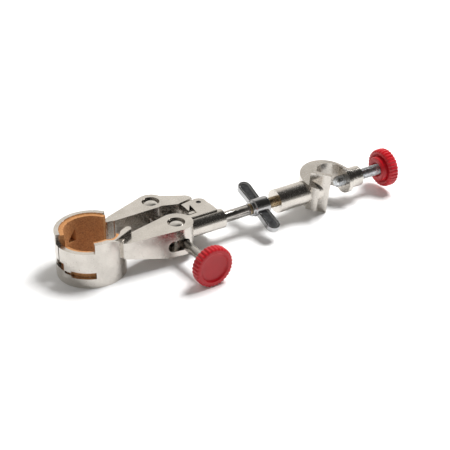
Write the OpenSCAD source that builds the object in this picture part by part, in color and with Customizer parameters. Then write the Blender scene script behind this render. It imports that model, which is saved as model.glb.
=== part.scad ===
// Laboratory extension clamp with cork-lined round jaws and a swivelling boss head.
// Origin: centre of the round grip, half way up the jaws. +Z runs up the grip,
// +X runs from the grip along the rod to the boss head. Millimetres throughout.

/* [Jaws] */
// Outer radius of the two half-round jaws
jaw_r = 23.3; // [20:0.1:30]
// Height of the jaws
jaw_h = 32; // [26:0.5:40]
// Thickness of the cast jaw wall
jaw_wall = 3.2; // [2.5:0.1:4]
// Thickness of the cork lining
cork_t = 3; // [2:0.1:4]
// Height of the long window in the fixed jaw
window_h = 4.6; // [3:0.1:6]
// Gap between the meeting ends of the two jaws, in degrees
jaw_gap = 3; // [2:0.5:6]

/* [Arms] */
// Height of the upper faces of the arms above the grip centre
arm_top = 9.5; // [8:0.1:12]
// Depth of the lower faces of the arms below the grip centre
arm_drop = 10; // [8:0.1:12]
// Depth of the fixed arm's lower face where it meets the jaw
arm_drop_jaw = 3; // [2:0.1:6]
// Radius of the round eye on the fixed arm
near_eye_r = 11.5; // [10:0.1:13]
// Radius of the round eye on the moving arm
far_eye_r = 10; // [9:0.1:12]
// Distance of the pivot pin from the grip centre along the rod
pivot_x = 83.7; // [78:0.1:92]
// Sideways place of the pivot pin
pivot_y = 1.5; // [0:0.1:3]
// Diameter of the pivot pin
pin_d = 3.5; // [3:0.1:4]
// Thickness of each fork plate
fork_t = 4.2; // [3:0.1:5]

/* [Jaw screw] */
// Distance of the jaw screw from the grip centre along the rod
near_x = 57.1; // [52:0.1:60]
// Sideways place of the fixed arm's barrel nut
near_y = -13.9; // [-16:0.1:-12]
// Sideways place of the moving arm's barrel nut
far_y = 19.7; // [18:0.1:22]
// Height of the screw's axis
screw_z = -2; // [-3:0.1:0]
// Diameter of the jaw screw's plain shank
screw_d = 6.5; // [6.5:0.1:7.5]
// Diameter of the jaw screw's threaded end
thread_d = 6; // [5:0.1:6]
// Diameter of the barrel nuts
barrel_d = 12; // [10:0.1:14]
// Depth of the barrel nut's rim below the eye's upper face
barrel_sink = 2; // [1:0.1:3]
// Length of the screw from the fixed arm's barrel nut to the knob
knob_reach = 37; // [32:0.5:50]
// Length of the screw past the moving arm's barrel nut
screw_past = 18.5; // [16:0.5:21]

/* [Knobs] */
// Outer diameter of both knobs
knob_d = 28; // [24:0.5:34]
// Thickness of a knob's fluted rim
knob_t = 7.5; // [6:0.5:10]
// Number of flutes round a knob
flutes = 32; // [16:1:40]
// Diameter of the round neck behind a knob
knob_neck_d = 18.5; // [16:0.5:20]
// Length of the neck behind the jaw screw's knob
knob_neck_l = 3; // [2:0.5:6]
// Length of the neck behind the boss screw's knob
boss_neck_l = 3; // [2:0.5:6]

/* [Rod] */
// Diameter of the rod
rod_d = 8; // [7:0.1:10]
// Sideways place of the rod
rod_y = -13.8; // [-15:0.1:-12]
// Height of the rod's axis
rod_z = 1.4; // [0:0.1:2]
// Diameter of the round hub that holds the rod
hub_d = 13.5; // [12.5:0.1:15]
// Place where the hub ends
hub_end = 93; // [92:0.5:98]
// Length of plain rod outside the hub
rod_plain = 22; // [18:0.5:40]
// Length of the rod's threaded end
rod_thread = 45; // [44:0.5:60]

/* [Wing nut] */
// Distance from the end of the hub to the middle of the wings
wing_reach = 30; // [28:0.5:30]
// Tip to tip width of the wings
wing_span = 47.5; // [40:0.5:56]
// Width of each wing along the rod
wing_w = 9.5; // [8:0.1:11]
// Thickness of each wing
wing_t = 4; // [3:0.1:5]
// Diameter of the wing nut's hub
wing_hub_d = 12.5; // [12:0.1:15]
// Length of the wing nut's hub
wing_hub_l = 14; // [11:0.5:14]
// Turn of the wings out of the flat
wing_turn = 19; // [0:1:40]

/* [Boss head] */
// Distance from the end of the hub to the boss head's sleeve
sleeve_gap = 44; // [40:0.5:46]
// Outer diameter of the sleeve
sleeve_d = 17; // [15:0.1:20]
// Length of the sleeve up to the point of the vee
sleeve_l = 28.5; // [27:0.5:40]
// Length of each vee plate
vee_l = 14.9; // [13:0.1:18]
// Thickness of each vee plate
vee_t = 3.2; // [2.5:0.1:4]
// Height of the vee plates
vee_h = 31.8; // [28:0.1:34]
// Outer radius of the hook
hook_r = 19; // [18:0.1:21]
// Radius of the round space inside the hook
hook_hole_r = 11.5; // [10.5:0.1:12]
// Height of the hook
hook_h = 19; // [16:0.5:24]
// Diameter of the lug that carries the boss screw
lug_d = 14.8; // [13:0.1:18]
// Length of the lug beyond the hook
lug_l = 10.5; // [9:0.5:16]
// Diameter of the boss screw
boss_screw_d = 8; // [7:0.1:9]
// Gap left between the point of the vee and the boss screw's tip
screw_open = 19.5; // [14:0.5:25]
// Length of boss screw seen between the lug and its knob
boss_screw_out = 17; // [10:0.5:20]
// Lean of the boss head about the rod
boss_lean = 9; // [0:1:30]

/* [Fits] */
// Radial clearance of turning parts
run_fit = 0.06; // [0.02:0.01:0.1]
// Radial clearance of a screw in the open barrel nut
thread_fit = 0.25; // [0.2:0.01:0.3]
// Clearance between the moving tail and the fork plates
tail_gap = 0.25; // [0.15:0.01:0.4]
// Radial clearance of pieces that are fixed in their holes
seat_fit = 0.02; // [0.01:0.01:0.04]

/* [Hidden] */
$fn = 96;
cut = 1;                                  // how far a cutting shape runs past a face

cast = [0.74, 0.72, 0.69];
dark_cast = [0.3, 0.3, 0.31];
steel = [0.62, 0.6, 0.58];
plated = [0.7, 0.72, 0.74];
cork = [0.7, 0.42, 0.2];
red = [0.8, 0.07, 0.08];

// jaws
metal_r = jaw_r - jaw_wall;               // inside of the cast wall
grip_r = metal_r - cork_t;                // inside of the cork
half_h = jaw_h / 2;
cork_inset = 1;                           // the cork ends this far inside the jaw's rims
step_a = 252;                             // where the fixed jaw drops to its finger
fixed_a0 = 184;                           // tip of the fixed jaw's upper finger
fixed_a1 = 348;                           // root of the fixed jaw
fixed_low_a = 166;                        // tip of the fixed jaw's lower finger
moving_a0 = 38;                           // root of the moving jaw
moving_a1 = fixed_a0 - jaw_gap;           // end of the moving jaw's tongue
tongue_a = moving_a1 - 8;                 // root of that tongue
finger_top = 0.3 * jaw_h;                 // top of the upper finger
window_z = -half_h + 0.215 * jaw_h;       // foot of the window
window_a0 = 196;                          // point of the window
window_a1 = 210;                          // where the window reaches its full height
notch_a = 195;                            // end of the notch at the finger's tip
notch_z = -1;                             // top of that notch
low_top = -half_h + 0.3 * jaw_h;          // top of the lower finger at the tip
tongue_foot = low_top + 1.2;

// arms
near = [near_x, near_y];
screw_tilt = 1.5;                         // the screw leans this far from square
along = [-sin(screw_tilt), cos(screw_tilt)];
far = near + along * (far_y - near_y) / cos(screw_tilt);
pivot = [pivot_x, pivot_y];
arm_h = arm_top + arm_drop;
span = norm(far - near);
tail_top = arm_top - fork_t - tail_gap;
tail_foot = -arm_drop + fork_t + tail_gap;
barrel_r = barrel_d / 2;
barrel_top = arm_top - barrel_sink;
barrel_foot = -arm_drop + barrel_sink;
dome_h = 1.8;                             // rise of the barrel nut's domed top
screw_r = screw_d / 2;
tap_r = thread_d / 2;
end_play = 0.15;                          // of the screw in the near barrel nut
clip_t = 1;
clip_d = thread_d + 4;
clip_space = clip_d / 2 + 0.75;           // half the width of the opening round the clip
clip_swing = 3;                           // how far the clip swings as the jaws open
slot_r = screw_r + 0.8;                   // half the height of the slot in the fixed eye
slot_run = screw_r + 5;                   // length of that slot
far_slot = [screw_r + 4.5, screw_r + 1.2];// half width and height of the moving eye's slot
groove_r = tap_r - 0.6;
knob_bore = knob_t / 2;                   // how far a screw reaches into a knob's rim
rib_r = 2.2;                              // half width of the rib on the fixed jaw
rib_top = arm_top + 4;
rib_jaw = [1.5, -jaw_r + rib_r + 0.4];    // end of the rib in the jaw's wall
rib_arm = [23, -10];                      // end of the rib on the arm
fork_end = hub_end - 3.6;                 // where the fork plates end on the hub
fork_foot_x = near_x + near_eye_r + 2;    // where the lower fork plate starts
web_t = 2.6;                              // thickness of the wall between the fork plates
web_y = rod_y + hub_d / 2 - 1.3;          // near face of that wall
root_r = 5;                               // half width of the fixed arm at its jaw
root = [18, -16.6];
neck_r = 4.2;                             // half width of the moving arm at its jaw
neck = [24.4, 13.4];
tail_r = 5.8;
tail = pivot + [-6.5, 8.6];

// rod and boss head
rod_r = rod_d / 2;
socket_l = 17;                            // depth of the rod's socket in the hub
rod_x0 = hub_end - socket_l;
thread_x = hub_end + rod_plain;
rod_x1 = thread_x + rod_thread;
thread_r = rod_r - 0.15;
wing_x = hub_end + max(wing_reach, rod_plain + wing_hub_l / 2 + cut);
sleeve_x = hub_end + sleeve_gap;
vee_x = sleeve_x + sleeve_l;              // back of the vee's point
vee_in = vee_x + vee_t * sqrt(2);         // inside of the vee's point
hook_c = [vee_x + 14.3, -0.3];            // centre of the hook's outer round
hook_hole_c = hook_c + [5.5, 1.1];        // centre of the space inside it
pad_x0 = hook_hole_c[0] + 10.6;           // the pad stands where the lug leaves the hook
pad_x1 = hook_c[0] + hook_r + 0.4;
vee_mid = (vee_x + vee_in) / 2;
lug_x1 = pad_x1 + lug_l;
boss_screw_r = boss_screw_d / 2;
tip_x = vee_in + screw_open;
neck_x = lug_x1 + boss_screw_out;

// ---------- shared shapes ----------

// two circles and the band between them, its corners tucked just inside the circles
module link(p, pr, q, qr) {
    tuck = 0.99;
    d = norm(q - p);
    a = atan2(q[1] - p[1], q[0] - p[0]);
    b = acos((pr - qr) / d);
    up = tuck * [cos(a + b), sin(a + b)];
    down = tuck * [cos(a - b), sin(a - b)];
    translate(p) circle(pr);
    translate(q) circle(qr);
    polygon([p + pr * up, q + qr * up, q + qr * down, p + pr * down]);
}

// part of a round wall between two angles and two heights
module arc_wall(r0, r1, a0, a1, z0, z1) {
    rotate([0, 0, a0]) rotate_extrude(angle = a1 - a0)
        translate([r0, z0]) square([r1 - r0, z1 - z0]);
}

// space cut right through a jaw's wall
module jaw_cut(a0, a1, z0, z1) {
    arc_wall(grip_r, jaw_r + 2 * cut, a0, a1, z0, z1);
}

module slab(z0, z1) {
    translate([0, 0, z0]) linear_extrude(z1 - z0) children();
}

// round bar along X on the rod's axis
module rod_bar(r, x0, x1) {
    translate([x0, rod_y, rod_z]) rotate([0, 90, 0]) cylinder(r = r, h = x1 - x0);
}

// places children on the rod's axis, turned about it
module on_rod(turn) {
    translate([0, rod_y, rod_z]) rotate([turn, 0, 0]) children();
}

// places children on the jaw screw: +Z runs from the near barrel towards the knob
module on_screw() {
    translate([near[0], near[1], screw_z]) rotate([90, 0, screw_tilt]) children();
}

// fluted knob round +Z: its neck starts at z = 0, its rim ends at z = neck + rim
module knob(neck_l, bore_r) {
    flute_r = knob_d * PI / flutes / 4;
    top = neck_l + knob_t;
    dish_r = knob_d * 0.34;
    dish_depth = 1.6;
    edge = 1;
    difference() {
        rotate_extrude()
            polygon([[0, 0], [knob_neck_d / 2, 0], [knob_neck_d / 2, neck_l],
                     [knob_d / 2 - edge, neck_l], [knob_d / 2, neck_l + edge],
                     [knob_d / 2, top - edge], [knob_d / 2 - edge, top],
                     [dish_r, top], [dish_r, top - dish_depth], [0, top - dish_depth]]);
        for (i = [0:flutes - 1])
            rotate([0, 0, i * 360 / flutes])
                translate([knob_d / 2 + flute_r * 0.35, 0, neck_l - cut])
                    cylinder(r = flute_r, h = knob_t + 2 * cut, $fn = 24);
        translate([0, 0, -cut]) cylinder(r = bore_r, h = neck_l + knob_bore + cut);
    }
}

// ---------- the fixed side ----------

// wedge that slopes the root of the fixed jaw down to the arm's upper face
module root_slope(drop) {
    slope_x = 2.4;
    translate([slope_x, -2 * jaw_r, half_h - drop])
        rotate([0, atan((half_h - arm_top) / (jaw_r * 0.78 - slope_x)), 0])
            translate([-jaw_r, 0, 0]) cube([3 * jaw_r, 2 * jaw_r, jaw_h]);
}

// round wall cut into two fingers at its tip, with a long window between them
module fixed_jaw_wall() {
    difference() {
        arc_wall(metal_r - cut, jaw_r, fixed_low_a, fixed_a1, -half_h, half_h);
        root_slope(0);
        // above the upper finger
        jaw_cut(fixed_low_a - cut, step_a, finger_top, half_h + cut);
        // in front of the fingers' tips
        jaw_cut(fixed_low_a - 2 * cut, notch_a, low_top, notch_z);
        jaw_cut(fixed_low_a - 3 * cut, fixed_a0, notch_z - cut, finger_top + cut);
        // long window, coming to a point at the tip
        jaw_cut(window_a1, step_a, window_z, window_z + window_h);
        jaw_cut(window_a0, step_a - cut, window_z + window_h * 0.3, window_z + window_h * 0.7);
    }
}

// the fixed arm with its eye, shallower towards the jaw
module fixed_arm() {
    run = near_x - near_eye_r - root[0];
    difference() {
        slab(-arm_drop, arm_top) link(root, root_r, near, near_eye_r);
        translate([near_x - near_eye_r, 0, -arm_drop])
            rotate([0, atan((arm_drop - arm_drop_jaw) / run), 0])
                translate([-2 * run, -near_x, -2 * arm_drop])
                    cube([2 * run, 2 * near_x, 2 * arm_drop]);
    }
}

// upper plate of the fork, seen from above, with the spur that reaches over the moving tail
module fork_plan() {
    translate(pivot) circle(pin_d * 1.55);
    polygon([[fork_end - 0.9, pivot_y + 1], [fork_end, pivot_y - 7], [fork_end, rod_y],
             [near_x + 6, rod_y], [near_x + 6, near_y + 8], [near_x + 12.3, rod_y + 3],
             [pivot_x - 8.3, rod_y + 3.4], [pivot_x - 7, pivot_y],
             [pivot_x - 11.9, pivot_y - 7.3], [pivot_x - 11.9, pivot_y + 3.3],
             [pivot_x - 4.4, pivot_y + 4.6], [pivot_x + 1, pivot_y + pin_d * 1.5]]);
}

// lower plate of the fork, which lies behind the hub
module low_fork_plan() {
    translate(pivot) circle(pin_d * 1.55);
    polygon([[fork_end - 0.9, pivot_y + 1], [fork_end, pivot_y - 5], [fork_end, web_y + 0.4],
             [fork_foot_x, web_y + 0.4], [pivot_x - 7, pivot_y - 4],
             [pivot_x - 4.6, pivot_y + 3], [pivot_x + 1, pivot_y + pin_d * 1.5]]);
}

module frame_casting() {
    color(cast) difference() {
        union() {
            fixed_jaw_wall();
            fixed_arm();
            slab(arm_top - fork_t, arm_top) fork_plan();
            slab(-arm_drop, -arm_drop + fork_t) low_fork_plan();
            // raised rib from the jaw's rim to the arm
            slab(0, rib_top) link(rib_jaw, rib_r, rib_arm, rib_r);
            rod_bar(hub_d / 2, near_x + 8, hub_end);
            // wall behind the hub that ties the lower fork plate to it
            translate([fork_foot_x, web_y, -arm_drop])
                cube([fork_end - fork_foot_x, web_t, arm_h - cut]);
        }
        // inside of the grip
        translate([0, 0, -half_h - cut]) cylinder(r = metal_r, h = jaw_h + 2 * cut);
        // bore for the near barrel nut
        translate([near_x, near_y, -arm_drop - cut])
            cylinder(r = barrel_r + run_fit, h = arm_h + 2 * cut);
        // slot for the swing of the screw, out through the arm's wall
        on_screw() {
            cylinder(r = slot_r, h = near_eye_r + cut);
            translate([-slot_run, -slot_r, 0]) cube([slot_run, 2 * slot_r, near_eye_r + cut]);
            translate([-slot_run, 0, 0]) cylinder(r = slot_r, h = near_eye_r + cut);
        }
        // opening for the screw on the inner side of the eye
        translate([near_x - clip_space, near_y, screw_z - clip_space])
            cube([2 * clip_space + clip_swing, near_eye_r + cut, 2 * clip_space]);
        // socket for the rod
        rod_bar(rod_r + seat_fit, rod_x0 - 0.5, hub_end + cut);
        // pivot pin's hole through both fork plates
        translate([pivot_x, pivot_y, -arm_drop - cut])
            cylinder(r = pin_d / 2 + seat_fit, h = arm_h + 2 * cut);
    }
}

module fixed_cork() {
    color(cork) difference() {
        arc_wall(grip_r, metal_r, fixed_a0 + 6, fixed_a1 - 6,
                 -half_h + cork_inset, half_h - cork_inset);
        arc_wall(grip_r - cut, metal_r + cut, fixed_a0, step_a, finger_top - cork_inset, half_h);
        root_slope(cork_inset);
    }
}

module rod() {
    chamfer = 1;
    color(steel) {
        rod_bar(rod_r, rod_x0, thread_x);
        rod_bar(thread_r, thread_x - cut, rod_x1 - chamfer);
        translate([rod_x1 - chamfer, rod_y, rod_z]) rotate([0, 90, 0])
            cylinder(r1 = thread_r, r2 = thread_r - chamfer, h = chamfer);
    }
}

module pivot_pin() {
    color(steel) translate([pivot_x, pivot_y, -arm_drop + 0.4])
        cylinder(d = pin_d, h = arm_h - 1);
}

// ---------- the moving side ----------

module moving_arm_plan() {
    link(neck, neck_r, far, far_eye_r);
    link(far, far_eye_r - 2.2, tail, tail_r);
    link([18.4, 12.6], 2.2, neck, neck_r - 0.3);
}

module moving_arm() {
    color(cast) difference() {
        union() {
            // half-round wall with its tongue at the tip
            difference() {
                arc_wall(metal_r - cut, jaw_r, moving_a0, moving_a1, -half_h, half_h);
                jaw_cut(fixed_low_a - jaw_gap, moving_a1 + cut, -half_h - cut, tongue_foot);
                jaw_cut(tongue_a, moving_a1 + 2 * cut, tongue_foot - cut, notch_z);
                jaw_cut(tongue_a, moving_a1 + 3 * cut, finger_top, half_h + cut);
            }
            difference() {
                slab(-arm_drop, arm_top) moving_arm_plan();
                // the tail is thinned to fit between the fork plates
                slab(tail_top, arm_top + cut) fork_clear();
                slab(-arm_drop - cut, tail_foot) fork_clear();
            }
            slab(tail_foot, tail_top) link(tail, tail_r - 0.3, pivot, pin_d * 1.5);
        }
        translate([0, 0, -half_h - cut]) cylinder(r = metal_r, h = jaw_h + 2 * cut);
        // bore for the far barrel nut
        translate([far[0], far[1], -arm_drop - cut])
            cylinder(r = barrel_r + run_fit, h = arm_h + 2 * cut);
        // slot for the swing of the screw through both walls of the eye
        on_screw() translate([-far_slot[0], -far_slot[1], -span - far_eye_r - cut])
            cube([2 * far_slot[0], 2 * far_slot[1], 2 * far_eye_r + 2 * cut]);
        translate([pivot_x, pivot_y, -arm_drop - cut])
            cylinder(r = pin_d / 2 + run_fit, h = arm_h + 2 * cut);
    }
}

// space swept by the fork plates, seen from above, as the moving arm turns
module fork_clear() {
    translate(pivot) circle(norm([4.4, 4.6]) + 1.2);
    polygon([pivot + [-12.6, 5.2], pivot + [0, 7.6], pivot + [9, 4],
             pivot + [9, -20], pivot + [-12.6, -20]]);
}

module moving_cork() {
    color(cork) difference() {
        arc_wall(grip_r, metal_r, moving_a0 - 6, tongue_a,
                 -half_h + cork_inset, half_h - cork_inset);
        // pointed notch in the lining
        rotate([0, 0, 112]) translate([grip_r - cut, 0, 0.1 * jaw_h]) rotate([90, 0, 90])
            linear_extrude(cork_t + cut + 1) polygon([[-4, -4.5], [4, -4.5], [-4, 4.5]]);
    }
}

// ---------- barrel nuts and jaw screw ----------

module barrel(hole_r) {
    difference() {
        union() {
            translate([0, 0, barrel_foot]) cylinder(r = barrel_r, h = barrel_top - barrel_foot);
            // domed top
            translate([0, 0, barrel_top]) rotate_extrude() intersection() {
                translate([0, -(barrel_r * barrel_r - dome_h * dome_h) / (2 * dome_h)])
                    circle((barrel_r * barrel_r + dome_h * dome_h) / (2 * dome_h));
                square([barrel_r, dome_h]);
            }
        }
        translate([0, 0, screw_z]) rotate([90, 0, screw_tilt])
            translate([0, 0, -barrel_d]) cylinder(r = hole_r, h = 2 * barrel_d);
    }
}

module near_barrel() {
    color(steel) translate([near[0], near[1], 0]) barrel(tap_r + run_fit);
}

module far_barrel() {
    color(steel) translate([far[0], far[1], 0]) barrel(tap_r + thread_fit);
}

// plain shank to the knob with a shoulder on the near barrel nut, threaded end beyond it
module jaw_screw() {
    tip = span + screw_past;
    shoulder = barrel_r + end_play;
    chamfer = 1;
    color(steel) on_screw() difference() {
        union() {
            translate([0, 0, shoulder])
                cylinder(r = screw_r, h = knob_reach + knob_neck_l + knob_bore - shoulder);
            translate([0, 0, -tip + chamfer])
                cylinder(r = tap_r, h = tip - chamfer + shoulder + cut);
            translate([0, 0, -tip]) cylinder(r1 = tap_r - chamfer, r2 = tap_r, h = chamfer);
        }
        // groove for the clip
        translate([0, 0, -shoulder - clip_t]) difference() {
            cylinder(r = screw_d, h = clip_t);
            translate([0, 0, -cut]) cylinder(r = groove_r, h = clip_t + 2 * cut);
        }
    }
}

// open ring that sits in the screw's groove on the inner side of the near barrel nut
module screw_clip() {
    color(steel) on_screw() translate([0, 0, -barrel_r - end_play - clip_t + seat_fit])
        difference() {
            cylinder(d = clip_d, h = clip_t - 2 * seat_fit);
            translate([0, 0, -cut]) cylinder(r = groove_r + seat_fit, h = clip_t + 2 * cut);
            translate([0, -groove_r * 0.8, -cut])
                cube([clip_d, groove_r * 1.6, clip_t + 2 * cut]);
        }
}

module jaw_knob() {
    color(red) on_screw() translate([0, 0, knob_reach])
        knob(knob_neck_l, screw_r + seat_fit);
}

// ---------- wing nut ----------

module wing_nut() {
    tip = (wing_span - wing_w) / 2;
    color(dark_cast) on_rod(wing_turn) translate([wing_x, 0, 0]) difference() {
        union() {
            translate([-wing_hub_l / 2, 0, 0]) rotate([0, 90, 0])
                cylinder(d = wing_hub_d, h = wing_hub_l);
            slab(-wing_t / 2, wing_t / 2)
                link([0, -tip], wing_w / 2, [0, tip], wing_w / 2);
        }
        translate([-wing_hub_l, 0, 0]) rotate([0, 90, 0])
            cylinder(r = thread_r + run_fit, h = 2 * wing_hub_l);
    }
}

// ---------- boss head ----------

// one plate of the vee, its back starting at the point
module vee_plate(side) {
    translate([vee_x, 0, -vee_h / 2]) rotate([0, 0, side * 45])
        translate([0, side > 0 ? -vee_t : 0, 0]) cube([vee_l, vee_t, vee_h]);
}

module boss_head() {
    color(cast) on_rod(boss_lean) difference() {
        union() {
            // sleeve, ending inside the vee plates
            difference() {
                translate([sleeve_x, 0, 0]) rotate([0, 90, 0])
                    cylinder(d = sleeve_d, h = sleeve_l + sleeve_d);
                slab(-sleeve_d, sleeve_d)
                    polygon([[vee_mid, 0], [vee_mid + vee_h, vee_h], [vee_mid + vee_h, -vee_h]]);
            }
            for (side = [-1, 1]) vee_plate(side);
            slab(-hook_h / 2, hook_h / 2) difference() {
                translate(hook_c) circle(hook_r);
                translate(hook_hole_c) circle(hook_hole_r);
                // the vee opens into the round space
                polygon([[vee_in, 0], hook_hole_c + [-hook_hole_r * 0.7, hook_hole_r * 0.7],
                         hook_hole_c, [vee_in + vee_l, -vee_l]]);
                // the near side is open
                polygon([[vee_x + 1, 0], [pad_x1, 0], [pad_x1, -2 * hook_r],
                         [vee_x - 3, -2 * hook_r]]);
            }
            translate([pad_x0, 0, 0]) rotate([0, 90, 0])
                cylinder(d = hook_h, h = pad_x1 - pad_x0);
            translate([pad_x0, 0, 0]) rotate([0, 90, 0])
                cylinder(d = lug_d, h = lug_x1 - pad_x0);
        }
        translate([sleeve_x - cut, 0, 0]) rotate([0, 90, 0])
            cylinder(r = thread_r + run_fit, h = rod_x1 - sleeve_x + 1 + cut);
        translate([hook_hole_c[0], 0, 0]) rotate([0, 90, 0])
            cylinder(r = boss_screw_r + run_fit, h = lug_x1 - hook_hole_c[0] + cut);
    }
}

module boss_screw() {
    chamfer = 1.2;
    length = neck_x + boss_neck_l + knob_bore - tip_x;
    color(plated) on_rod(boss_lean) translate([tip_x, 0, 0]) rotate([0, 90, 0]) {
        cylinder(r1 = boss_screw_r - chamfer, r2 = boss_screw_r, h = chamfer);
        translate([0, 0, chamfer]) cylinder(r = boss_screw_r, h = length - chamfer);
    }
}

module boss_knob() {
    color(red) on_rod(boss_lean) translate([neck_x, 0, 0]) rotate([0, 90, 0])
        knob(boss_neck_l, boss_screw_r + seat_fit);
}

// ---------- drawing ----------

frame_casting();
fixed_cork();
rod();
pivot_pin();
moving_arm();
moving_cork();
near_barrel();
far_barrel();
jaw_screw();
screw_clip();
jaw_knob();
wing_nut();
boss_head();
boss_screw();
boss_knob();
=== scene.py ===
"""Laboratory extension clamp: cork-lined jaws, fluted knobs and a swivelling boss head."""

import math

import bpy
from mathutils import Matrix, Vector


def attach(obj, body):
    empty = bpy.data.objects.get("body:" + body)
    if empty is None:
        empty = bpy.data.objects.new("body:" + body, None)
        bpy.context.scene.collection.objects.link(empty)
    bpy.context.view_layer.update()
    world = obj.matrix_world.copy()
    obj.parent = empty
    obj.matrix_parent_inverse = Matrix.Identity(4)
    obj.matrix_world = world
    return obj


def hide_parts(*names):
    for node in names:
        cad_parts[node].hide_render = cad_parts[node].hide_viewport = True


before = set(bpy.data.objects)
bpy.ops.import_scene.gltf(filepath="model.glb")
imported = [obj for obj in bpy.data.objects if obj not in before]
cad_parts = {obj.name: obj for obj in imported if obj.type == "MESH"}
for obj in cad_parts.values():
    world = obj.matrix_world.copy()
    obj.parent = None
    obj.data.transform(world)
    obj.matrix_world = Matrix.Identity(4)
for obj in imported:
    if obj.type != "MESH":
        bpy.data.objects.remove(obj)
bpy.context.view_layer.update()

# Places are in millimetres and angles in degrees, as in the frame's own source.
MM = 0.001
NEAR_NUT = (57.1, -13.9, -2.0)    # middle of the fixed arm's barrel nut, on the screw
SCREW_LEAN = 1.5                  # the jaw screw's lean from square
SHOULDER = 6.15                   # start of the plain shank, from the barrel nut
SCREW_TIP = -52.1
KNOB_REACH = 37                   # from the barrel nut to the jaw knob's collar
PIN_FOOT = (83.7, 1.5, -9.6)
ROD_LINE = (-13.8, 1.4)           # y and z of the rod's axis
ROD_START = 76
ROD_THREAD = 114
WING_AT = 123
WING_LEAN = 19.0
BOSS_LEAN = 9.0
BOSS_TIP = 189.55                 # tip of the boss screw
BOSS_KNOB = 226.7                 # front of the boss knob's collar
SHANK_R = 3.25
BAR_R = 4
KNOB_R = 14
COLLAR = 3                        # length of a knob's collar
RIM = 7.5                         # thickness of its fluted rim
BORE = RIM / 2                    # how far a screw reaches into the rim
FLUTES = 32
TABLE_TOP = -16.05


# ---------- bench tools ----------


def alone(piece):
    bpy.ops.object.select_all(action="DESELECT")
    piece.select_set(True)
    bpy.context.view_layer.objects.active = piece


def open_mesh(piece):
    alone(piece)
    bpy.ops.object.mode_set(mode="EDIT")
    bpy.ops.mesh.select_all(action="SELECT")


def close_mesh():
    bpy.ops.object.mode_set(mode="OBJECT")


def pick_faces(piece, test):
    """Selects the faces whose centre and normal pass the test, and opens the mesh."""
    open_mesh(piece)
    bpy.ops.mesh.select_mode(type="FACE")
    bpy.ops.mesh.select_all(action="DESELECT")
    close_mesh()
    for face in piece.data.polygons:
        face.select = test(face.center, face.normal)
    bpy.ops.object.mode_set(mode="EDIT")


def modify(piece, kind, **settings):
    alone(piece)
    step = piece.modifiers.new(kind.title(), kind)
    for name, value in settings.items():
        setattr(step, name, value)
    bpy.ops.object.modifier_apply(modifier=step.name)


def soften(piece, width, segments=3, angle=30):
    """Rounds the sharp edges and shades the rest smooth."""
    modify(piece, "BEVEL", width=width * MM, segments=segments, limit_method="ANGLE",
           angle_limit=math.radians(angle), use_clamp_overlap=True, miter_outer="MITER_ARC")
    smooth(piece, angle)
    modify(piece, "WEIGHTED_NORMAL", weight=100, keep_sharp=True)


def smooth(piece, angle=30):
    alone(piece)
    bpy.ops.object.shade_smooth_by_angle(angle=math.radians(angle))


def place(piece, where, *turns):
    """Turns the piece about one axis after another, then sets it down, all in its mesh."""
    alone(piece)
    bpy.ops.object.transform_apply(location=True, rotation=True, scale=True)
    for axis, degrees in turns:
        piece.rotation_euler["XYZ".index(axis)] = math.radians(degrees)
        bpy.ops.object.transform_apply(location=True, rotation=True, scale=True)
    piece.location = [x * MM for x in where]
    bpy.ops.object.transform_apply(location=True, rotation=True, scale=True)


def outline(name, points):
    """Draws a line through (x, z) points in millimetres, one corner after another."""
    bpy.ops.object.select_all(action="DESELECT")
    bpy.ops.mesh.primitive_plane_add(size=MM)
    line = bpy.context.object
    line.name = name
    open_mesh(line)
    bpy.ops.mesh.merge(type="CENTER")
    bpy.ops.transform.translate(value=(points[0][0] * MM, 0, points[0][1] * MM))
    for (x0, z0), (x1, z1) in zip(points, points[1:]):
        step = {"value": ((x1 - x0) * MM, 0, (z1 - z0) * MM)}
        bpy.ops.mesh.extrude_vertices_move(TRANSFORM_OT_translate=step)
    return line


def turned(name, points, steps=64):
    """Turns a profile round Z on the lathe."""
    piece = outline(name, points)
    bpy.ops.mesh.select_all(action="SELECT")
    bpy.ops.mesh.spin(steps=steps, angle=math.tau, center=(0, 0, 0), axis=(0, 0, 1))
    bpy.ops.mesh.select_all(action="SELECT")
    bpy.ops.mesh.remove_doubles(threshold=0.001 * MM)
    bpy.ops.mesh.normals_make_consistent(inside=False)
    close_mesh()
    return piece


def thread(name, radius, depth, pitch, start, end, chamfer=1.0):
    """Cuts a thread round Z from start to end, with a chamfer at both ends."""
    root = radius - depth
    profile = [(root, 0), (root, 0.12), (radius, 0.42), (radius, 0.58), (root, 0.88), (root, 1)]
    piece = outline(name, [(r, start + (t - 2) * pitch) for r, t in profile])
    close_mesh()
    modify(piece, "SCREW", screw_offset=pitch * MM, angle=math.tau, steps=28, render_steps=28,
           iterations=math.ceil((end - start) / pitch) + 4, use_merge_vertices=True)
    for height, side in ((start, "clear_inner"), (end, "clear_outer")):
        open_mesh(piece)
        bpy.ops.mesh.remove_doubles(threshold=0.001 * MM)
        bpy.ops.mesh.bisect(plane_co=(0, 0, height * MM), plane_no=(0, 0, 1),
                            use_fill=True, **{side: True})
        close_mesh()
    open_mesh(piece)
    bpy.ops.mesh.normals_make_consistent(inside=False)
    close_mesh()
    for v in piece.data.vertices:
        room = min(v.co.z - start * MM, end * MM - v.co.z)
        limit = (radius - chamfer) * MM + max(room, 0)
        reach = math.hypot(v.co.x, v.co.y)
        if reach > limit:
            v.co.x *= limit / reach
            v.co.y *= limit / reach
    smooth(piece, 35)
    return piece


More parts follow.
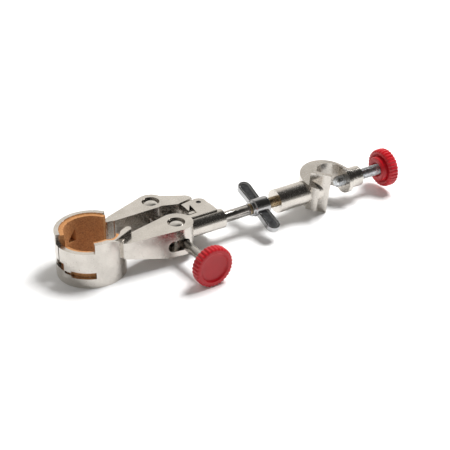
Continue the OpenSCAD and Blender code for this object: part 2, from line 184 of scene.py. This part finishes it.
def cast_from(name, node):
    """Starts a piece from a copy of a solid of the frame, its flat faces made whole."""
    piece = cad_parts[node].copy()
    piece.data = piece.data.copy()
    piece.name = name
    piece.parent = None
    for key in [k for k in piece.keys() if k.startswith("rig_")]:
        del piece[key]
    bpy.context.scene.collection.objects.link(piece)
    piece.data.materials.clear()
    open_mesh(piece)
    bpy.ops.mesh.remove_doubles(threshold=0.002 * MM)
    bpy.ops.mesh.dissolve_limited(angle_limit=math.radians(0.4))
    close_mesh()
    return piece


def fit(piece, body, node, finish=None):
    """Gives the finished piece its finish and its place on the clamp."""
    if finish:
        piece.data.materials.clear()
        piece.data.materials.append(finish)
    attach(piece, body)
    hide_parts(node)


# ---------- finishes ----------


class Finish:
    """A material whose nodes are added and joined in short lines."""

    def __init__(self, name):
        self.material = bpy.data.materials.new(name)
        self.material.use_nodes = True
        self.tree = self.material.node_tree
        self.shader = self.tree.nodes["Principled BSDF"]
        self.coords = self.tree.nodes.new("ShaderNodeTexCoord")

    def set(self, **values):
        for name, value in values.items():
            self.shader.inputs[name.replace("_", " ")].default_value = value

    def node(self, kind, **inputs):
        node = self.tree.nodes.new("ShaderNode" + kind)
        for name, value in inputs.items():
            node.inputs[name.replace("_", " ")].default_value = value
        return node

    def join(self, source, target):
        self.tree.links.new(source, target)

    def mapped(self, scale):
        mapping = self.node("Mapping", Scale=scale)
        self.join(self.coords.outputs["Object"], mapping.inputs["Vector"])
        return mapping.outputs["Vector"]

    def noise(self, scale, detail=4, rough=0.55, vector=None):
        noise = self.node("TexNoise", Scale=scale, Detail=detail, Roughness=rough)
        self.join(vector or self.coords.outputs["Object"], noise.inputs["Vector"])
        return noise.outputs["Fac"]

    def ramp(self, value, *stops):
        ramp = self.node("ValToRGB")
        while len(ramp.color_ramp.elements) < len(stops):
            ramp.color_ramp.elements.new(0.5)
        for element, (place_at, colour) in zip(ramp.color_ramp.elements, stops):
            element.position = place_at
            element.color = (*colour, 1) if len(colour) == 3 else (colour[0],) * 3 + (1,)
        self.join(value, ramp.inputs["Fac"])
        return ramp.outputs["Color"]

    def colour(self, socket):
        self.join(socket, self.shader.inputs["Base Color"])

    def roughness(self, socket):
        self.join(socket, self.shader.inputs["Roughness"])

    def bump(self, height, strength, distance):
        bump = self.node("Bump", Strength=strength, Distance=distance * MM)
        self.join(height, bump.inputs["Height"])
        self.join(bump.outputs["Normal"], self.shader.inputs["Normal"])
        return bump


def plated_metal(name, light, dark, smooth_to, rough_to, mottle=90, ripple=0.04):
    """Plating with soft mottling, fine handling marks and a slightly rippled face."""
    f = Finish(name)
    f.set(Metallic=1.0)
    patches = f.noise(mottle, 5)
    f.colour(f.ramp(patches, (0.32, dark), (0.62, light)))
    marks = f.noise(650, 6, 0.7)
    f.roughness(f.ramp(marks, (0.35, (smooth_to,)), (0.7, (rough_to,))))
    f.bump(f.noise(260, 5), 0.35, ripple)
    return f.material


def turned_metal(name, light, dark, smooth_to, rough_to, along):
    """Bar stock with fine turning rings across its length."""
    f = Finish(name)
    f.set(Metallic=1.0)
    scale = [1800 if axis == along else 30 for axis in "XYZ"]
    rings = f.noise(1.0, 3, 0.6, f.mapped(scale))
    f.colour(f.ramp(rings, (0.3, dark), (0.7, light)))
    f.roughness(f.ramp(f.noise(300, 5), (0.3, (smooth_to,)), (0.75, (rough_to,))))
    f.bump(rings, 0.12, 0.02)
    return f.material


def cork_sheet():
    """Ground cork: warm granules with dark specks and a few open pores."""
    f = Finish("ground cork")
    grain = f.node("TexVoronoi", Scale=1300.0)
    f.join(f.coords.outputs["Object"], grain.inputs["Vector"])
    tint = f.ramp(grain.outputs["Color"], (0.1, (0.40, 0.180, 0.068)),
                  (0.45, (0.49, 0.230, 0.090)), (0.85, (0.58, 0.290, 0.122)))
    specks = f.ramp(f.noise(900, 5, 0.7), (0.33, (0.0,)), (0.42, (1.0,)))
    mix = f.node("Mix")
    mix.data_type = "RGBA"
    f.join(specks, mix.inputs[0])
    mix.inputs[6].default_value = (0.17, 0.072, 0.03, 1)
    f.join(tint, mix.inputs[7])
    f.colour(mix.outputs[2])
    f.roughness(f.ramp(f.noise(400), (0.3, (0.72,)), (0.7, (0.92,))))
    f.bump(specks, 0.35, 0.1)
    return f.material


def moulded_red():
    """Moulded plastic with a fine satin grain and slightly worn gloss."""
    f = Finish("moulded red plastic")
    f.set(IOR=1.48)
    f.colour(f.ramp(f.noise(70, 5), (0.3, (0.40, 0.004, 0.010)), (0.7, (0.50, 0.007, 0.015))))
    f.roughness(f.ramp(f.noise(500, 5), (0.3, (0.34,)), (0.7, (0.48,))))
    f.bump(f.noise(1400, 3), 0.25, 0.03)
    return f.material


NICKEL = plated_metal("bright plated casting",
                      (0.64, 0.605, 0.56), (0.54, 0.51, 0.47), 0.16, 0.32)
STEEL = turned_metal("polished rod",
                     (0.50, 0.475, 0.445), (0.36, 0.34, 0.32), 0.10, 0.22, "X")
SHANK = turned_metal("polished screw",
                     (0.60, 0.575, 0.54), (0.44, 0.42, 0.39), 0.12, 0.24, "Y")
FITTING = plated_metal("plated fittings",
                       (0.66, 0.63, 0.59), (0.52, 0.495, 0.46), 0.14, 0.28, mottle=300)
YELLOW = plated_metal("yellow passivated thread",
                      (0.62, 0.51, 0.35), (0.44, 0.35, 0.23), 0.22, 0.38, mottle=400)
# Dark metal used as painted shade: it darkens the floors of the sunk wing panels and the rivet
# in its hole.
RECESS_SHADE = plated_metal("painted recess shade", (0.17, 0.175, 0.18), (0.085, 0.085, 0.09),
                    0.30, 0.48, mottle=420, ripple=0.12)
GREY = plated_metal("grey plated casting",
                    (0.46, 0.46, 0.465), (0.34, 0.34, 0.345), 0.12, 0.26, mottle=150)
ZINC = plated_metal("zinc plated thread",
                    (0.66, 0.68, 0.70), (0.50, 0.52, 0.54), 0.22, 0.36, mottle=400)
CORK = cork_sheet()
RED = moulded_red()


# ---------- jaws and arms ----------

casting = cast_from("fixed_casting", "frame_casting")
soften(casting, 0.5)
fit(casting, "frame", "frame_casting", NICKEL)

arm = cast_from("moving_arm_casting", "moving_arm")
soften(arm, 0.5)
fit(arm, "jaw", "moving_arm", NICKEL)

for name, node, body in (("fixed_lining", "fixed_cork", "frame"),
                         ("moving_lining", "moving_cork", "jaw")):
    lining = cast_from(name, node)
    soften(lining, 0.35, 2)
    fit(lining, body, node, CORK)

for name, node, body in (("near_nut_turned", "near_barrel", "near_nut"),
                         ("far_nut_turned", "far_barrel", "far_nut")):
    nut = cast_from(name, node)
    soften(nut, 0.45)
    fit(nut, body, node, FITTING)

pin = turned("pivot_rivet", [
    (0, 0), (1.35, 0), (1.75, 0.4), (1.75, 18.1), (1.35, 18.5), (0, 18.5),
], 32)
smooth(pin, 40)
place(pin, PIN_FOOT)
# The rivet is painted dark as the shade of its hole in the fork.
fit(pin, "frame", "pivot_pin", RECESS_SHADE)


# ---------- jaw screw ----------

TO_SCREW = (("X", 90), ("Z", SCREW_LEAN))

shank_end = KNOB_REACH + COLLAR + BORE
shank = turned("screw_shank", [
    (0, SHOULDER), (SHANK_R - 0.3, SHOULDER), (SHANK_R, SHOULDER + 0.3),
    (SHANK_R, shank_end), (0, shank_end),
], 48)
smooth(shank, 40)
place(shank, NEAR_NUT, *TO_SCREW)
fit(shank, "screw", "jaw_screw", SHANK)

jaw_thread = thread("screw_thread", 3.0, 0.55, 1.0, SCREW_TIP, 6.4)
place(jaw_thread, NEAR_NUT, *TO_SCREW)
fit(jaw_thread, "screw", "jaw_screw", SHANK)


# ---------- knobs ----------


def knob(name, bore, where, *turns):
    """A fluted knob: collar from z = 0, a groove round it, then a rim with a sunk face."""
    neck = COLLAR
    top = neck + RIM
    piece = turned(name, [
        (0, neck + BORE), (bore, neck + BORE), (bore, 2.4), (bore + 0.55, 1.9),
        (bore + 0.9, 0.9), (bore + 1.5, 0.25), (bore + 2.2, 0), (8.2, 0), (8.9, 0.25),
        (9.2, 0.9), (9.25, neck + 0.7), (9.5, neck + 1.25), (9.85, neck + 1.2),
        (10.3, neck + 0.6), (11, neck + 0.12), (11.8, neck), (12.8, neck + 0.2),
        (13.5, neck + 0.8), (13.9, neck + 1.6), (KNOB_R, neck + 2.6), (KNOB_R, neck + 4),
        (KNOB_R, top - 1.5), (13.8, top - 0.75), (13.3, top - 0.2), (12.6, top),
        (11.1, top), (10.4, top - 0.15), (9.9, top - 0.9), (9.4, top - 1.45),
        (8.7, top - 1.6), (4, top - 1.6), (0, top - 1.6),
    ], 256)
    for v in piece.data.vertices:
        reach = math.hypot(v.co.x, v.co.y) / MM
        if reach > 12.5:
            turn = math.atan2(v.co.y, v.co.x) * FLUTES / math.tau
            off = abs(turn - round(turn)) * 2
            groove = 0.55 * max(0.0, 1 - (off / 0.7) ** 2)
            share = (reach - groove) / reach
            v.co.x *= share
            v.co.y *= share
    smooth(piece, 38)
    place(piece, where, *turns)
    return piece


lean = math.radians(SCREW_LEAN)
knob_at = (NEAR_NUT[0] + KNOB_REACH * math.sin(lean),
           NEAR_NUT[1] - KNOB_REACH * math.cos(lean), NEAR_NUT[2])
jaw_knob = knob("jaw_screw_knob", SHANK_R + 0.02, knob_at, *TO_SCREW)
fit(jaw_knob, "screw", "jaw_knob", RED)

ALONG_ROD = (("Y", 90), ("X", BOSS_LEAN))
boss_knob = knob("boss_screw_knob", BAR_R + 0.02, (BOSS_KNOB, *ROD_LINE), *ALONG_ROD)
fit(boss_knob, "clamp_knob", "boss_knob", RED)

clamp_screw = thread("boss_screw_thread", BAR_R, 0.62, 1.25, 0, 43.85, 1.2)
place(clamp_screw, (BOSS_TIP, *ROD_LINE), *ALONG_ROD)
fit(clamp_screw, "clamp_screw", "boss_screw", ZINC)


# ---------- rod and wing nut ----------

bar = turned("round_bar", [
    (0, 0), (BAR_R - 0.4, 0), (BAR_R, 0.4), (BAR_R, 38.4), (BAR_R - 0.5, 39), (0, 39),
], 64)
smooth(bar, 40)
place(bar, (ROD_START, *ROD_LINE), ("Y", 90))
fit(bar, "frame", "rod", STEEL)

bar_thread = thread("bar_thread", 3.85, 0.6, 1.25, 0, 46, 1.0)
place(bar_thread, (ROD_THREAD, *ROD_LINE), ("Y", 90))
fit(bar_thread, "frame", "rod", YELLOW)


def wing(side):
    """One wing: a rounded plate with a sunk panel on both faces."""
    tip = 19
    bpy.ops.object.select_all(action="DESELECT")
    bpy.ops.mesh.primitive_cylinder_add(vertices=48, radius=4.75 * MM, depth=4 * MM,
                                        location=(0, side * tip * MM, 0))
    plate = bpy.context.object
    place(plate, (0, 0, 0))
    for v in plate.data.vertices:
        if v.co.y * side < (tip - 0.1) * MM:
            v.co.x *= 0.92
            v.co.y -= side * 14.5 * MM
    pick_faces(plate, lambda centre, normal: abs(normal.z) > 0.9)
    bpy.ops.mesh.inset(thickness=1.25 * MM, use_individual=True)
    bpy.ops.mesh.inset(thickness=0.45 * MM, depth=-0.7 * MM, use_individual=True)
    close_mesh()
    # The floors of the sunk panels are painted dark as shade.
    plate.data.materials.append(GREY)
    plate.data.materials.append(RECESS_SHADE)
    for face in plate.data.polygons:
        if abs(face.normal.z) > 0.9 and abs(face.center.z) < 1.5 * MM:
            face.material_index = 1
    return plate


wing_nut = turned("wing_nut_casting", [
    (3.95, -7), (5.2, -7), (5.5, -6.7), (5.5, -4.8), (6.1, -4.3), (6.25, -3.9), (6.25, 6.4),
    (5.8, 7), (3.95, 7), (3.95, -7),
], 64)
place(wing_nut, (0, 0, 0), ("Y", 90))
wing_nut.data.materials.append(GREY)
wings = [wing(1), wing(-1)]
alone(wing_nut)
for plate in wings:
    plate.select_set(True)
bpy.ops.object.join()
soften(wing_nut, 0.45, 3, 32)
place(wing_nut, (WING_AT, *ROD_LINE), ("X", WING_LEAN))
fit(wing_nut, "wing", "wing_nut")


# ---------- boss head ----------

boss = cast_from("boss_casting", "boss_head")
soften(boss, 0.35)
fit(boss, "boss", "boss_head", NICKEL)

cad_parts["screw_clip"].data.materials.clear()
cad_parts["screw_clip"].data.materials.append(FITTING)


# ---------- table, light and camera ----------

bpy.ops.object.select_all(action="DESELECT")
bpy.ops.mesh.primitive_plane_add(size=4, location=(0.9, 0.2, TABLE_TOP * MM))
table = bpy.context.object
table.name = "table"
place(table, (0, 0, 0))
paper = Finish("white table")
paper.set(Roughness=0.9)
paper.colour(paper.ramp(paper.noise(3), (0.0, (0.93, 0.93, 0.93)), (1.0, (0.95, 0.95, 0.95))))
table.data.materials.append(paper.material)

scene = bpy.context.scene
scene.view_settings.view_transform = "Standard"
world = bpy.data.worlds.new("studio")
scene.world = world
world.use_nodes = True
tree = world.node_tree
direction = tree.nodes.new("ShaderNodeTexCoord")


def grade(toward, *stops):
    """A grey level that changes with the angle from the given direction."""
    angle = tree.nodes.new("ShaderNodeVectorMath")
    angle.operation = "DOT_PRODUCT"
    angle.inputs[1].default_value = toward
    fade = tree.nodes.new("ShaderNodeValToRGB")
    tree.links.new(direction.outputs["Generated"], angle.inputs[0])
    tree.links.new(angle.outputs["Value"], fade.inputs["Fac"])
    while len(fade.color_ramp.elements) < len(stops):
        fade.color_ramp.elements.new(0.5)
    for element, (height, level) in zip(fade.color_ramp.elements, stops):
        element.position = height
        element.color = (level, level * 0.985, level * 0.96, 1)
    return fade.outputs["Color"]


pale_back = grade((0.50, 0.80, 0.0), (0.0, 0.34), (0.22, 0.38), (0.5, 0.62), (0.8, 1.02))
dark_ceiling = grade((0.46, -0.35, 0.82), (0.62, 1.0), (0.82, 0.12))
blend = tree.nodes.new("ShaderNodeMix")
blend.data_type = "RGBA"
blend.blend_type = "MULTIPLY"
blend.inputs[0].default_value = 1.0
tree.links.new(pale_back, blend.inputs[6])
tree.links.new(dark_ceiling, blend.inputs[7])
tree.links.new(blend.outputs[2], tree.nodes["Background"].inputs["Color"])


def softbox(name, where, size, power, mirrored=False):
    """A square lamp aimed at the clamp; only a mirrored one shows in polished metal."""
    lamp = bpy.data.lights.new(name, "AREA")
    lamp.size = size
    lamp.energy = power
    holder = bpy.data.objects.new(name, lamp)
    scene.collection.objects.link(holder)
    holder.location = where
    holder.visible_glossy = mirrored
    aim = Vector((0.1, 0, 0)) - Vector(where)
    holder.rotation_euler = aim.to_track_quat("-Z", "Y").to_euler()


softbox("key", (0.80, 0.05, 1.30), 0.6, 28)
softbox("fill", (-0.9, -0.5, 1.0), 1.2, 2)
softbox("glint", (0.9, 0.25, 0.75), 0.12, 0.8, mirrored=True)

camera = bpy.data.cameras.new("camera")
camera.sensor_width = 36
camera.lens = 95.32
camera.clip_start = 0.01
stand = bpy.data.objects.new("camera", camera)
scene.collection.objects.link(stand)
stand.location = (-0.28115, -0.61209, 0.40905)
look = Vector((0.45985, 0.73022, -0.50528))
stand.rotation_euler = look.to_track_quat("-Z", "Y").to_euler()
scene.camera = stand
